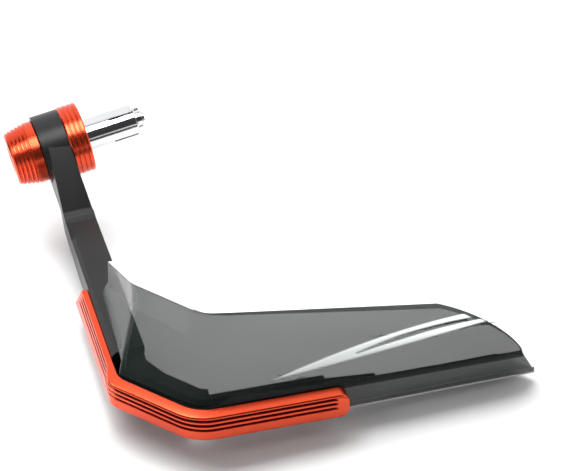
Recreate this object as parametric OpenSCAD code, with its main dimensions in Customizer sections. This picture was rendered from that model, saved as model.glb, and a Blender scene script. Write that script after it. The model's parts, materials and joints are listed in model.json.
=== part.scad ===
// Motorcycle hand guard with a bar-end mount, one side.
// The origin is on the handlebar's axis, at the collar's seat for the bar end. +Z is up, -Y is forward.
// +X is inboard. The bar axis itself rises inboard by bar_rise and sweeps back by bar_sweep.

/* [Bar end] */
// how far the bar axis rises towards the inboard side, degrees
bar_rise = 6.4; // [0:0.1:10]
// how far the bar axis sweeps back towards the rider, degrees
bar_sweep = 2.5; // [0:0.1:8]
// outside diameter of the collar
collar_d = 33; // [30:0.5:38]
// length of the collar along the bar
collar_length = 9; // [7:0.5:14]
// inside diameter of the collar's cup, which takes the end of the bar or grip
cup_d = 27; // [24:0.5:28]
// depth of the collar's cup
cup_depth = 5; // [3:0.5:6]
// diameter of the hub in the cup, which centres the bar
hub_d = 17.6; // [16:0.2:20]
// length of the hub, from the bottom of the cup
hub_length = 3; // [1:0.5:4.5]
// outside diameter of the ring at the end of the arm
ring_d = 32; // [28:0.5:36]
// width of the ring along the bar
ring_width = 12.6; // [10:0.2:16]
// diameter of the end cap next to the ring
cap_d = 29; // [26:0.5:32]
// diameter of the end cap at its outer end
cap_end_d = 24.8; // [20:0.2:25.8]
// length of the end cap
cap_length = 14; // [12:0.5:20]
// plain length of the end cap, next to the ring
cap_plain = 4.6; // [3:0.2:6]
// number of ridges on the end cap
cap_ridges = 5; // [3:1:6]
// depth of the grooves on the cap and the collar
groove_depth = 0.6; // [0.3:0.1:1]
// width of the grooves on the cap and the collar
groove_width = 0.8; // [0.5:0.1:1.2]

/* [Expander] */
// outside diameter of the expander sleeve
sleeve_d = 15.4; // [13:0.2:16]
// inside diameter of the expander sleeve
sleeve_bore_d = 9.4; // [8:0.2:10]
// length of the sleeve past the collar's seat
sleeve_reach = 24.3; // [18:0.1:36]
// length of the slots in the sleeve
slot_length = 12; // [8:0.5:16]
// width of the slots in the sleeve
slot_width = 1.2; // [0.8:0.1:2]
// number of slots in the sleeve
slot_count = 4; // [3:1:6]
// turn of the slots about the bar axis, degrees
slot_turn = 25; // [0:5:85]
// diameter of the main bolt
bolt_d = 6; // [5:1:6]
// diameter of the main bolt's head
bolt_head_d = 10; // [8.5:0.5:11]
// height of the main bolt's head
bolt_head_h = 6; // [5:0.5:6.5]
// thickness of the washer
washer_t = 1.2; // [0.8:0.1:1.6]
// diameter of the cone nut's nose
nose_d = 10.4; // [8.5:0.2:12]
// how far the cone nut stands out of the sleeve
nose_length = 4.6; // [3:0.2:8]

/* [Arm] */
// inboard side of the arm, outboard of the collar's seat
arm_inset = 5.5; // [4:0.5:8]
// thickness of the arm from side to side
arm_thickness = 13.8; // [12:0.2:15]
// height of the arm's straight stretch
arm_height = 28.4; // [24:0.2:34]
// top of the straight stretch below the bar axis
arm_drop = 16.7; // [14:0.1:22]
// from the bar axis forward to the arm's first bend
bend_reach = 37; // [30:0.5:44]
// from the bar axis forward to the front end of the straight stretch
arm_reach = 127; // [110:0.5:150]
// chamfer along the arm's upper outer edge
arm_chamfer = 1.9; // [1:0.1:3]
// length over which that chamfer runs out at the bend
chamfer_run_out = 9; // [4:0.5:14]
// depth of the pockets in the arm's inboard side
pocket_depth = 5; // [3:0.5:6.5]
// width of the ribs between the pockets
rib_width = 1.8; // [1.2:0.1:3]
// frame of solid wall round the pockets
pocket_rim = 3.2; // [2:0.1:5]
// from rib to rib of the slanted ribs
rib_pitch = 12; // [8:0.5:20]
// depth of the bar behind the front facet, from front to rear
front_bar_depth = 5; // [4:0.2:6]
// length of the bar's tapered tail, past the trim's screw
tail_run = 21; // [6:1:30]
// depth of the diagonal flange, from front to rear
flange_depth = 9; // [7:0.2:11]

/* [Screws] */
// diameter of the small screws
screw_d = 5; // [4:0.5:5]
// head diameter of the small screws
screw_head_d = 8.5; // [7:0.5:8.5]
// head height of the small screws
screw_head_h = 4; // [3:0.2:5]
// width across the flats of the small screws' sockets
screw_socket = 4; // [3:0.5:4]
// outside diameter of the bosses round the screws
boss_d = 13; // [12:0.5:15]
// diameter of the counterbores that the screw heads sit in
counterbore_d = 10.4; // [10:0.1:10.8]
// from the straight stretch's front end back to the front screw
screw_setback = 11; // [9:0.5:16]
// from the rear screw forward to the front screw
screw_spacing = 26; // [20:0.5:30]
// height of the screws over the arm's underside
screw_rise = 15; // [13:0.5:16]

/* [Shield] */
// thickness of the shield's sheet
sheet = 2.4; // [1.8:0.1:3]
// shield's crease below the bar axis, at the outboard corner
crease_drop = 20.4; // [19:0.1:22]
// how far the crease falls from the outboard corner to the tip
crease_fall = 6; // [0:0.2:7]
// from the arm's straight stretch forward to the outboard corner of the crease
corner_ahead = 10.5; // [9.5:0.5:12]
// from the outboard corner back to the wing's rear edge
wing_run = 47.5; // [40:0.5:60]
// height of the wing at its rear edge
wing_rise = 14; // [10:0.5:18]
// height of the sheet above the crease, at the outboard corner
corner_rise = 28.2; // [24:0.2:32]
// how far the sheet leans back at the outboard corner
corner_lean = 22.8; // [18:0.2:26]
// how far the sheet leans inboard at the outboard corner
corner_inset = 13.4; // [10:0.2:16]
// width of the diagonal facet, from side to side
diagonal_run = 25; // [20:0.5:30]
// depth of the diagonal facet, from rear to front
diagonal_depth = 28.5; // [24:0.5:32]
// from the diagonal's inboard end to the shield's tip
front_run = 139; // [110:1:160]
// how far the front facet runs forward over its length
front_rake = 8.2; // [0:0.2:14]
// height of the shield above the crease, at the diagonal's inboard end
rise_corner = 29.2; // [22:0.2:36]
// height of the shield above the crease, at the inboard end
rise_tip = 14.4; // [8:0.2:24]
// how far the top edge leans back behind the crease
lean_back = 23.6; // [18:0.2:30]
// how far the top corner of the inboard end is cut back from the tip
tip_rake = 26.5; // [10:0.5:40]
// how far the inboard end's edge bows out between its corners
tip_bow = 4.4; // [0:0.2:7]
// how far the main panel bulges out between its edges, at the tip
bulge_tip = 4.6; // [0:0.2:6]
// height of the lip along the wing's and the diagonal's top edge
lip_height = 11; // [8:0.5:14]
// height of the lower panel below the crease
lower_height = 15.6; // [14:0.2:18]
// depth of the bottom flange, from front to rear
bottom_depth = 14; // [8:0.5:18]

/* [Trim] */
// depth of the trim strip, out from the shield
trim_depth = 5; // [4.4:0.2:7]
// height of the trim strip
trim_height = 13; // [11:0.2:14.5]
// from the outboard corner back to the upper corner of the trim's rear end
trim_side_run = 55.7; // [50:0.1:60]
// how far the trim's rear end is cut back at its top
trim_start_rake = 7; // [0:0.2:9]
// length of the trim along the front facet
trim_run = 58.5; // [50:0.5:80]
// number of grooves along the trim
trim_grooves = 3; // [2:1:4]
// from groove to groove
trim_groove_pitch = 2.6; // [2:0.1:2.8]
// depth of the grooves along the trim
trim_groove_depth = 0.9; // [0.3:0.1:1.2]

/* [Hidden] */

round_sides = 72;
small_sides = 36;
running_gap = 0.1;
clearance = 0.2;
overrun = 1;

orange = [0.9, 0.33, 0.12];
black = [0.13, 0.13, 0.14];
steel = [0.75, 0.76, 0.78];
smoke = [0.3, 0.34, 0.33, 0.75];

// places along the bar axis, from the outboard end to the inboard one
ring_in = -collar_length;
ring_out = ring_in - ring_width;
cap_out = ring_out - cap_length;
cup_floor = -cup_depth;
sleeve_start = cup_floor + hub_length;
head_sink = 1;
cap_counterbore = bolt_head_h + washer_t + head_sink;
bolt_seat = cap_out + cap_counterbore;
bolt_end_inset = 1.4;
bolt_end = sleeve_reach + nose_length - bolt_end_inset;
cone_length = 9;
bolt_socket = 5;
bolt_hole_d = bolt_d + 2 * clearance;

// the arm's straight stretch
arm_in = -arm_inset;
arm_out = arm_in - arm_thickness;
arm_top = -arm_drop;
arm_bottom = arm_top - arm_height;
screw_z = arm_bottom + screw_rise;

// the shield's crease in plan: side, diagonal and front facet
corner_reach = arm_reach + corner_ahead;
corner = [arm_out - clearance, -corner_reach];
diagonal_end = corner + [diagonal_run, -diagonal_depth];
tip = diagonal_end + [front_run, -front_rake];
diagonal_length = norm(diagonal_end - corner);
front_length = norm(tip - diagonal_end);
diagonal_way = (diagonal_end - corner) / diagonal_length;
front_way = (tip - diagonal_end) / front_length;
side_way = [0, -1];
corner_round = 7;
function turned(v) = [-v[1], v[0]];
function z_at(run) = -crease_drop - crease_fall * max(0, run - diagonal_length) / front_length;
function mix(a, b, s) = a + (b - a) * s;

// One run length along the crease, zero at the outboard corner, measured on the unrounded line.
total_run = diagonal_length + front_length;
function plan(run) = run < 0 ? corner + side_way * run
    : run < diagonal_length ? corner + diagonal_way * run
    : diagonal_end + front_way * (run - diagonal_length);
function near_end(run) = abs(run - diagonal_length) < corner_round;
function round_share(run) = (run - diagonal_length + corner_round) / (2 * corner_round);
function bent(run) = near_end(run)
    ? mix(
        mix(plan(diagonal_length - corner_round), diagonal_end, round_share(run)),
        mix(diagonal_end, plan(diagonal_length + corner_round), round_share(run)),
        round_share(run))
    : plan(run);
function way(run) = near_end(run)
    ? unit(mix(diagonal_way, front_way, round_share(run)))
    : run < 0 ? side_way : run < diagonal_length ? diagonal_way : front_way;
function unit(v) = v / norm(v);
function rearward(run) = turned(way(run));
function off_crease(run, d) = bent(run) + rearward(run) * d;
corner_mitre = unit(turned(side_way) + turned(diagonal_way))
    / cos(acos(side_way * diagonal_way) / 2);
function mitred(run, d) = abs(run) < 0.01 ? corner + corner_mitre * d : off_crease(run, d);
round_steps = 8;
function runs_between(a, b, step) =
    let (steps = ceil((b - a) / step)) [for (i = [0:steps]) a + (b - a) * i / steps];
corner_runs = [for (i = [0:round_steps]) diagonal_length + corner_round * (2 * i / round_steps - 1)];
function runs_to(last) = concat([0], runs_between(6, diagonal_length - corner_round - 2, 9), corner_runs,
    runs_between(diagonal_length + corner_round + 3, last, 12));

// A closed solid through rings of points, all with as many points. A sheet's ring goes out on one side and
// back on the other, and its ends are closed from side to side.
module through_rings(rings, is_sheet = false) {
    n = len(rings[0]);
    m = len(rings);
    points = [for (ring = rings) each ring];
    sides = [for (i = [0:m - 2], j = [0:n - 1]) each [
        [i * n + j, i * n + (j + 1) % n, (i + 1) * n + (j + 1) % n],
        [i * n + j, (i + 1) * n + (j + 1) % n, (i + 1) * n + j]
    ]];
    across = [for (j = [0:n / 2 - 2]) each [[j, j + 1, n - 2 - j], [j, n - 2 - j, n - 1 - j]]];
    around = [[for (j = [0:n - 1]) j]];
    cap = is_sheet ? across : around;
    first = [for (f = cap) [for (i = [len(f) - 1:-1:0]) f[i]]];
    last = [for (f = cap) [for (j = f) (m - 1) * n + j]];
    polyhedron(points = points, faces = concat(sides, first, last), convexity = 8);
}

module on_bar_axis(x) {
    rotate([0, -bar_rise, bar_sweep]) translate([x, 0, 0]) rotate([0, 90, 0]) children();
}

module rod(d, length, sides) {
    cylinder(d = d, h = length, $fn = sides);
}

// A socket-head screw along +Z: the head's underside is at z = 0, its head below, its shank above.
module socket_screw(d, head_d, head_h, length, socket) {
    difference() {
        union() {
            translate([0, 0, -head_h]) rod(head_d, head_h, small_sides);
            translate([0, 0, -overrun / 4]) rod(d, length + overrun / 4, small_sides);
        }
        translate([0, 0, -head_h - overrun]) rod(socket / cos(30), overrun + head_h * 0.6, 6);
    }
}

module end_cap() {
    ridge_length = (cap_length - cap_plain) / cap_ridges;
    wall = 2.2;
    function cap_r(x) =
        mix(cap_d, cap_end_d, max(0, x - cap_plain) / (cap_length - cap_plain)) / 2;
    outline = concat(
        [[bolt_hole_d / 2, 0], [cap_d / 2 - 0.5, 0], [cap_d / 2, 0.5]],
        [for (i = [0:cap_ridges - 1]) let (x = cap_plain + i * ridge_length) each [
            [cap_r(x), x],
            [cap_r(x) - groove_depth, x + 0.25],
            [cap_r(x) - groove_depth, x + groove_width],
            [cap_r(x + groove_width), x + groove_width + 0.25]
        ]],
        [
            [cap_end_d / 2, cap_length - 0.7],
            [cap_end_d / 2 - 0.7, cap_length],
            [bolt_head_d / 2 + wall + 0.6, cap_length],
            [bolt_head_d / 2 + 0.4, cap_length - 1],
            [bolt_head_d / 2 + 0.4, cap_length - cap_counterbore],
            [bolt_hole_d / 2, cap_length - cap_counterbore]
        ]);
    color(orange) on_bar_axis(ring_out) mirror([0, 0, 1]) rotate_extrude($fn = round_sides) polygon(outline);
}

module bolt_washer() {
    color(steel) on_bar_axis(bolt_seat - washer_t) difference() {
        rod(bolt_head_d, washer_t, small_sides);
        translate([0, 0, -overrun]) rod(bolt_hole_d, washer_t + 2 * overrun, small_sides);
    }
}

module main_bolt() {
    length = bolt_end - (bolt_seat - washer_t);
    color(steel) on_bar_axis(bolt_seat - washer_t)
        socket_screw(bolt_d, bolt_head_d, bolt_head_h, length, bolt_socket);
}

module collar() {
    outer_r = collar_d / 2;
    grooves = 3;
    pitch = collar_length / (grooves + 1);
    outline = concat(
        [[bolt_hole_d / 2, 0], [outer_r - 0.6, 0], [outer_r, 0.6]],
        [for (i = [1:grooves]) each [
            [outer_r, i * pitch - groove_width / 2],
            [outer_r - groove_depth / 2, i * pitch - groove_width / 4],
            [outer_r - groove_depth / 2, i * pitch + groove_width / 4],
            [outer_r, i * pitch + groove_width / 2]
        ]],
        [
            [outer_r, collar_length - 0.5],
            [outer_r - 0.5, collar_length],
            [cup_d / 2, collar_length],
            [cup_d / 2, collar_length - cup_depth],
            [hub_d / 2, collar_length - cup_depth],
            [hub_d / 2, collar_length - cup_depth + hub_length],
            [bolt_hole_d / 2, collar_length - cup_depth + hub_length]
        ]);
    color(orange) on_bar_axis(ring_in) rotate_extrude($fn = round_sides) polygon(outline);
}

module expander_sleeve() {
    length = sleeve_reach - sleeve_start;
    color(steel) on_bar_axis(sleeve_start) difference() {
        rod(sleeve_d, length, round_sides);
        translate([0, 0, -overrun]) rod(sleeve_bore_d, length + 2 * overrun, round_sides);
        translate([0, 0, length - cone_length])
            rotate_extrude($fn = round_sides) polygon([
                [0, 0],
                [sleeve_bore_d / 2, 0],
                [nose_d / 2 + 1, cone_length + overrun / 2],
                [0, cone_length + overrun / 2]
            ]);
        for (i = [0:slot_count - 1])
            rotate([0, 0, slot_turn + i * 360 / slot_count])
                translate([0, -slot_width / 2, length - slot_length])
                    cube([sleeve_d, slot_width, slot_length + overrun]);
    }
}

module expander_wedge() {
    nose_r = nose_d / 2;
    key_width = 3;
    boss_r = 3.6;
    cone_r = nose_r + 1 - clearance;
    color(steel) on_bar_axis(sleeve_reach - cone_length) difference() {
        rotate_extrude($fn = small_sides) polygon([
            [bolt_d / 2 + running_gap, 0.5],
            [sleeve_bore_d / 2 - clearance, 0.5],
            [cone_r, cone_length],
            [nose_r, cone_length],
            [nose_r, cone_length + nose_length - 1.4],
            [boss_r, cone_length + nose_length - 1.4],
            [boss_r, cone_length + nose_length],
            [bolt_d / 2 + running_gap, cone_length + nose_length]
        ]);
        for (a = [0:90:270])
            rotate([0, 0, a]) translate([nose_r - 0.9, -key_width / 2, cone_length + overrun])
                cube([2 * nose_r, key_width, nose_length]);
    }
}

// The arm's side outline: gooseneck and straight stretch, looking inboard. x is forward, y is up.
ring_r = ring_d / 2;
neck_depth = 0.94;
neck_far = norm([bend_reach, arm_top]);
neck_turn = atan2(arm_top, bend_reach) + acos(neck_depth * ring_r / neck_far);
neck_top = neck_depth * ring_r * [cos(neck_turn), sin(neck_turn)];
neck_bottom = neck_depth * ring_r * [cos(262), sin(262)];
heel = [19.5, arm_bottom + 3];

module side_outline() {
    polygon([
        [0, neck_top[1] - 4],
        neck_top,
        [bend_reach - 2.2, arm_top + 2.45],
        [bend_reach, arm_top + 0.75],
        [bend_reach + 3, arm_top],
        [arm_reach, arm_top],
        [arm_reach, arm_bottom + 3.5],
        [arm_reach - 3.5, arm_bottom],
        [heel[0] + 5, arm_bottom],
        heel,
        neck_bottom
    ]);
}

// Turns an outline that looks inboard into a plate from x_low to x_high.
module plate(x_low, x_high) {
    translate([x_low, 0, 0]) rotate([90, 0, -90]) mirror([0, 0, 1])
        linear_extrude(x_high - x_low) children();
}

rib_rows = 3;
rib_slant = 58;

module ribs() {
    span = arm_reach + ring_d;
    for (i = [-2:ceil(span / rib_pitch)])
        translate([i * rib_pitch, arm_bottom]) rotate(-rib_slant)
            square([3 * arm_height, rib_width], center = true);
    for (i = [1:rib_rows])
        translate([0, arm_bottom + i * arm_height / (rib_rows + 1) - rib_width / 2])
            square([span, rib_width]);
}

front_screw_reach = arm_reach - screw_setback;
screw_reaches = [front_screw_reach - screw_spacing, front_screw_reach];
least_pocket = 0.5;
pocket_reach = 3.5;

module pockets() {
    offset(delta = least_pocket) offset(delta = -least_pocket) difference() {
        union() {
            offset(delta = -pocket_rim) side_outline();
            translate([arm_reach / 2, arm_bottom + pocket_rim + 4])
                square([arm_reach / 2 + pocket_reach, arm_height - 2 * pocket_rim - 4.4]);
        }
        circle(r = ring_r + pocket_rim, $fn = small_sides);
        ribs();
        for (reach = screw_reaches)
            translate([reach, screw_z]) circle(d = boss_d, $fn = small_sides);
    }
}

function strip(runs, near, far) = concat(
    [for (run = runs) mitred(run, near)],
    [for (i = [len(runs) - 1:-1:0]) mitred(runs[i], far)]);

// What the flange and the front bar keep from the crease: the sheet and a small gap.
bar_near = sheet + clearance;
bar_upper_near = bar_near + 3;
bar_bottom = -crease_drop - lower_height + sheet + clearance;
bar_step = -crease_drop - 6.6;
bar_top = -crease_drop - clearance;
flange_far = bar_near + flange_depth;
bar_far = bar_near + front_bar_depth;
bar_last = diagonal_length + trim_run - 4;
tail_last = bar_last + tail_run;
tail_depth = 0.6;
tail_upper_near = bar_near + 1.6;
flange_bottom = arm_bottom + 4;
flange_middle = diagonal_length / 2;
flange_half = 9;
bar_runs = concat(corner_runs, runs_between(diagonal_length + corner_round + 3, bar_last, 12));
front_block = [
    [arm_out + arm_chamfer, 4 - arm_reach],
    [arm_in - 0.4, 4 - arm_reach],
    [arm_in - 0.4, -arm_reach - 4],
    mitred(flange_middle - flange_half, flange_far),
    mitred(flange_middle + flange_half, flange_far),
    mitred(flange_middle + flange_half, bar_near),
    mitred(0, bar_near),
    [arm_out + 0.3, mitred(0, bar_near)[1] + 2],
    [arm_out + 0.3, 1 - arm_reach]
];

least_gap = 0.02;
tail_rise = 3;
function tail(near, far) = [
    mitred(bar_last - 1, near),
    mitred(tail_last, near),
    mitred(tail_last, near + tail_depth),
    mitred(bar_last - 1, far)
];

// What lies over the falling crease: the space above the front bar's sloped top.
module over_front_bar() {
    translate([diagonal_end[0], diagonal_end[1], bar_top])
        rotate([0, atan(crease_fall / front_length), atan2(front_way[1], front_way[0])])
            translate([0, -corner_round, 0]) cube([front_length, lean_back + corner_round, crease_drop]);
}

module layer(low, high) {
    translate([0, 0, low]) linear_extrude(high - low) offset(delta = 0) children();
}

module screw_way(place, direction) {
    translate(place) rotate([0, 90, direction]) children();
}

module arm_solids() {
    plate(arm_out, arm_in) side_outline();
    on_bar_axis(ring_out) rod(ring_d, ring_width + 0.5, round_sides);
    layer(flange_bottom, bar_step) polygon(front_block);
    layer(bar_bottom, bar_step)
        polygon(strip(concat([flange_middle], corner_runs), bar_near + least_gap, flange_far - least_gap));
    layer(bar_bottom, bar_step) polygon(strip(bar_runs, bar_near, bar_far));
    layer(bar_bottom + tail_rise, bar_step) polygon(tail(bar_near, bar_far - tail_depth));
    layer(bar_step - overrun, z_at(tail_last) - tail_depth) polygon(tail(tail_upper_near, bar_far));
    layer(bar_step - overrun, bar_top) {
        polygon(strip(concat([2, flange_middle], corner_runs), bar_upper_near, flange_far - least_gap));
        polygon(strip(bar_runs, bar_upper_near, bar_far + tail_depth));
        polygon([
            [arm_out + 6, 6 - arm_reach],
            [arm_in - 0.8, 6 - arm_reach],
            [arm_in - 0.8, -arm_reach - 4],
            mitred(flange_middle, flange_far - 1),
            mitred(2, bar_upper_near + 1)
        ]);
    }
    corner_boss();
    trim_end_boss();
}

// The straight stretch's outer side is slimmer towards the bar and along its lower edge.
slim_reach = 75;
slim_side = 2.4;
slim_edge = 3.6;
slim_edge_height = 10;

module slimming() {
    translate([arm_out, -slim_reach, arm_bottom - overrun]) rotate([0, 0, -atan(slim_side / slim_reach)])
        translate([-2 * arm_thickness, 0, 0]) cube([2 * arm_thickness, slim_reach + 1, arm_height - 1]);
    translate([arm_out, overrun, arm_bottom + slim_edge_height])
        rotate([0, -atan(slim_edge / slim_edge_height), 0])
            translate([-2 * arm_thickness, -2 * arm_reach, -2 * arm_height])
                cube([2 * arm_thickness, 2 * arm_reach, 2 * arm_height]);
}

// The chamfer's cutter: a triangle along the upper outer edge that runs out to a point at the bend.
module edge_chamfer() {
    start = -bend_reach - 4;
    full = start - chamfer_run_out;
    last = -2 * arm_reach;
    spare = 3;
    function section(y, c) = [
        [arm_out - spare, y, arm_top - c - spare],
        [arm_out + c + spare, y, arm_top + spare],
        [arm_out - spare, y, arm_top + spare]
    ];
    points = concat(section(start, 0), section(full, arm_chamfer), section(last, arm_chamfer));
    polyhedron(points = points, faces = [
        [2, 1, 0], [0, 1, 4, 3], [1, 2, 5, 4], [2, 0, 3, 5],
        [3, 4, 7, 6], [4, 5, 8, 7], [5, 3, 6, 8], [6, 7, 8]
    ]);
}

corner_screw_place = concat(off_crease(flange_middle, flange_far), [screw_z]);
end_screw_run = bar_last - 8;
end_screw_place = concat(off_crease(end_screw_run, bar_far), [(bar_bottom + bar_step) / 2]);
function heading(run) = atan2(rearward(run)[1], rearward(run)[0]);
boss_height = 1.5;
end_boss_height = 0.8;

module corner_boss() {
    screw_way(corner_screw_place, heading(flange_middle)) translate([0, 0, -overrun])
        rod(boss_d, boss_height + overrun, small_sides);
}

module trim_end_boss() {
    screw_way(end_screw_place, heading(end_screw_run)) translate([0, 0, -overrun])
        rod(screw_head_d, overrun + end_boss_height, small_sides);
}

// A screw's hole with its counterbore, along the screw from the boss's face towards the trim.
module screw_hole(face_depth, reach) {
    mirror([0, 0, 1]) {
        translate([0, 0, -overrun]) rod(counterbore_d, face_depth + overrun, small_sides);
        rod(screw_d + 2 * clearance, reach, small_sides);
    }
}

arm_screw_depth = screw_head_h + 0.5;

module arm() {
    color(black) difference() {
        arm_solids();
        plate(arm_in - pocket_depth, arm_in + overrun) pockets();
        slimming();
        edge_chamfer();
        over_front_bar();
        on_bar_axis(ring_out - overrun) rod(bolt_hole_d, ring_width + 3 * overrun, small_sides);
        on_bar_axis(ring_in) rod(ring_d * 2.4, ring_width, round_sides);
        for (reach = screw_reaches)
            screw_way([arm_in, -reach, screw_z], 0) screw_hole(arm_screw_depth, arm_thickness + overrun);
        screw_way(corner_screw_place, heading(flange_middle)) translate([0, 0, boss_height])
            screw_hole(arm_screw_depth, flange_depth + boss_height + overrun);
        screw_way(end_screw_place, heading(end_screw_run)) translate([0, 0, -front_bar_depth - overrun])
            rod(screw_d + 2 * clearance, front_bar_depth + 3 * overrun, small_sides);
    }
}

screw_bite = 3;

module arm_screw(reach) {
    length = arm_thickness - arm_screw_depth + screw_bite;
    color(steel) screw_way([arm_in - arm_screw_depth, -reach, screw_z], 0) mirror([0, 0, 1])
        socket_screw(screw_d, screw_head_d, screw_head_h, length, screw_socket);
}

module arm_screw_rear() {
    arm_screw(screw_reaches[0]);
}

module arm_screw_front() {
    arm_screw(screw_reaches[1]);
}

module corner_screw() {
    seat = boss_height - arm_screw_depth;
    length = flange_far + seat + screw_bite;
    color(steel) screw_way(corner_screw_place, heading(flange_middle)) translate([0, 0, seat])
        mirror([0, 0, 1]) socket_screw(screw_d, screw_head_d, screw_head_h, length, screw_socket);
}

module trim_end_screw() {
    length = bar_far + end_boss_height + screw_bite;
    color(steel) screw_way(end_screw_place, heading(end_screw_run)) translate([0, 0, end_boss_height])
        mirror([0, 0, 1]) socket_screw(screw_d, screw_head_d, screw_head_h, length, screw_socket);
}

// The shield's upper sheet. Each column runs from the top edge over the lip crease down to the main crease.
wing_inset = 4.2;
wing_seat = [arm_out + wing_inset, arm_top];
wing_splay = 0.6;
wing_lip_in = 3;
wing_lip_rise = 6;
wing_lean = [4.4, 3.2];
wing_rear_bottom = [wing_seat[0] + wing_splay, wing_run - corner_reach, wing_seat[1]];
wing_rear_crease = wing_rear_bottom + [wing_lip_in, 0, wing_lip_rise];
corner_lip_in = -1.2;
corner_lip_out = -3;
diagonal_inset = 10;
diagonal_lip_in = -3.2;
diagonal_lip_out = -3.4;
tip_extra_lean = 2.6;
wing_rear_top = wing_rear_bottom + concat(wing_lean, wing_rise);
wing_front_bottom = [wing_seat[0] - 1.6, 5 - corner_reach, arm_top];
crease_start = concat(corner, [z_at(0)]);
corner_top = crease_start + [corner_inset, corner_lean, corner_rise];
corner_lip = corner_top + [corner_lip_in, corner_lip_out, -lip_height];
diagonal_foot = concat(diagonal_end, [z_at(diagonal_length)]);
diagonal_top = diagonal_foot + [diagonal_inset, lean_back, rise_corner];
diagonal_lip = diagonal_top + [diagonal_lip_in, diagonal_lip_out, -lip_height];
crease_tip = concat(tip, [z_at(total_run)]);
tip_top = crease_tip + [-tip_rake, lean_back + tip_extra_lean, rise_tip];
lip_share = 0.3;
section_shares = [0, 0.05, 0.12, 0.2, lip_share, 0.44, 0.58, 0.72, 0.86, 1];
function creased(top, lip, foot, s) = s <= lip_share ? mix(top, lip, s / lip_share)
    : mix(lip, foot, (s - lip_share) / (1 - lip_share));
function bulged(top, foot, s, bulge, out) = mix(top, foot, s) + 4 * bulge * s * (1 - s) * out;
front_out = unit([0, -0.55, 0.85]);
function bow(s) = tip_bow * (pow(sin(180 * s), 0.6) - 0.8 * pow(1 - s, 8));
function front_point(along, s) =
    let (
        share = along * (1 + bow(s) / front_length * pow(along, 3)),
        foot = mix(diagonal_foot, crease_tip, share),
        top = mix(diagonal_top, tip_top, share),
        soft = bulged(top, foot, s, mix(3, bulge_tip, share), front_out),
        sharp = creased(top, mix(diagonal_lip, mix(top, foot, lip_share), min(1, share * 5)), foot, s),
        ease = min(1, 0.5 + share * 5)
    ) mix(sharp, soft, ease);
function diagonal_point(share, s) =
    let (
        foot = mix(crease_start, diagonal_foot, share),
        top = mix(corner_top, diagonal_top, share),
        sharp = creased(top, mix(corner_lip, diagonal_lip, share), foot, s),
        soft = bulged(top, foot, s, 3, front_out),
        ease = max(0, share - 0.6) * 1.25
    ) mix(sharp, soft, ease);
function wing_point(share, s) = creased(
    mix(wing_rear_top, corner_top, share),
    mix(wing_rear_crease, corner_lip, share),
    share < 0.95 ? mix(wing_rear_bottom, wing_front_bottom, share / 0.9) : crease_start,
    s);

// The columns' places: negative for the wing, then the run along the crease.
wing_columns = [0, 0.3, 0.6, 0.9];
sheet_columns = concat([for (c = wing_columns) c - 1], runs_to(total_run));
function sheet_at(c, s) = c < 0 ? wing_point(c + 1, s)
    : near_end(c) ? let (
        a = diagonal_point(1 - corner_round / diagonal_length, s),
        b = diagonal_point(1, s),
        d = front_point(corner_round / front_length, s),
        q = round_share(c)
    ) mix(mix(a, b, q), mix(b, d, q), q)
    : c < diagonal_length ? diagonal_point(c / diagonal_length, s)
    : front_point((c - diagonal_length) / front_length, s);
outer_sheet = [for (c = sheet_columns) [for (s = section_shares) sheet_at(c, s)]];

// The inner side of a sheet: each point moves in by the sheet's thickness, mitred over the creases.
function facing(a, b, along) = unit(cross(b - a, along));
function column_way(grid, i, j) =
    grid[min(len(grid) - 1, i + 1)][j] - grid[max(0, i - 1)][j];
function inner_point(grid, i, j) =
    let (
        last = len(grid[i]) - 1,
        along = column_way(grid, i, j),
        before = facing(grid[i][max(0, j - 1)], grid[i][max(1, j)], along),
        after = facing(grid[i][min(last - 1, j)], grid[i][min(last, j + 1)], along),
        both = before + after
    ) grid[i][j] - both * sheet * 2 / (both * both);
function ring_of(grid, i) = concat(grid[i], [for (j = [len(grid[i]) - 1:-1:0]) inner_point(grid, i, j)]);

// The lower panel and the bottom flange share the crease, and go on from it.
lower_lean = 1.6;
function lower_share(run) = max(0, run - bar_last) / (total_run - bar_last);
function crease_at(run) = concat(mitred(run, 0), [z_at(run)]);
tip_slant = 8.2;
function lower_at(run) = crease_at(run)
    + concat(front_way * tip_slant * pow(lower_share(run), 2), [-lower_height])
    + concat(rearward(run) * lower_lean * lower_share(run), [0]);
bottom_slant = 13;
bottom_start = diagonal_length - 9;
bottom_growth = 12;
least_step = 0.05;
function bottom_share(run) = max(0, min(1, (run - bottom_start) / bottom_growth));
function bottom_far(run) = mix(sheet + least_step, bottom_depth, bottom_share(run));
function lower_in(run) = concat(run == 0 ? corner_mitre : rearward(run), [0]);
function flange_at(run) = lower_at(run) + lower_in(run) * bottom_far(run)
    - concat(front_way * bottom_slant * pow(lower_share(run), 4), [0]);
upward = [0, 0, sheet];
crease_mitre = 0.45;

module lower_panel() {
    through_rings([for (run = runs_to(total_run)) [
        crease_at(run),
        lower_at(run),
        flange_at(run),
        flange_at(run) + upward,
        lower_at(run) + lower_in(run) * sheet + upward,
        crease_at(run) + lower_in(run) * sheet - upward * crease_mitre
    ]], true);
}

// The wing's foot is cut level where it stands on the arm's top.
module under_wing() {
    translate([arm_out - overrun, -arm_reach, arm_top - sheet])
        cube([arm_thickness + 2 * overrun, arm_reach, sheet]);
}

module shield() {
    color(smoke) difference() {
        union() {
            through_rings([for (i = [0:len(sheet_columns) - 1]) ring_of(outer_sheet, i)], true);
            lower_panel();
        }
        under_wing();
        screw_way(corner_screw_place, heading(flange_middle)) translate([0, 0, -flange_far - overrun])
            rod(screw_d + 2 * clearance, 2 * overrun + sheet, small_sides);
        screw_way(end_screw_place, heading(end_screw_run)) translate([0, 0, -bar_far - overrun])
            rod(screw_d + 2 * clearance, 2 * overrun + sheet, small_sides);
    }
}

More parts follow.
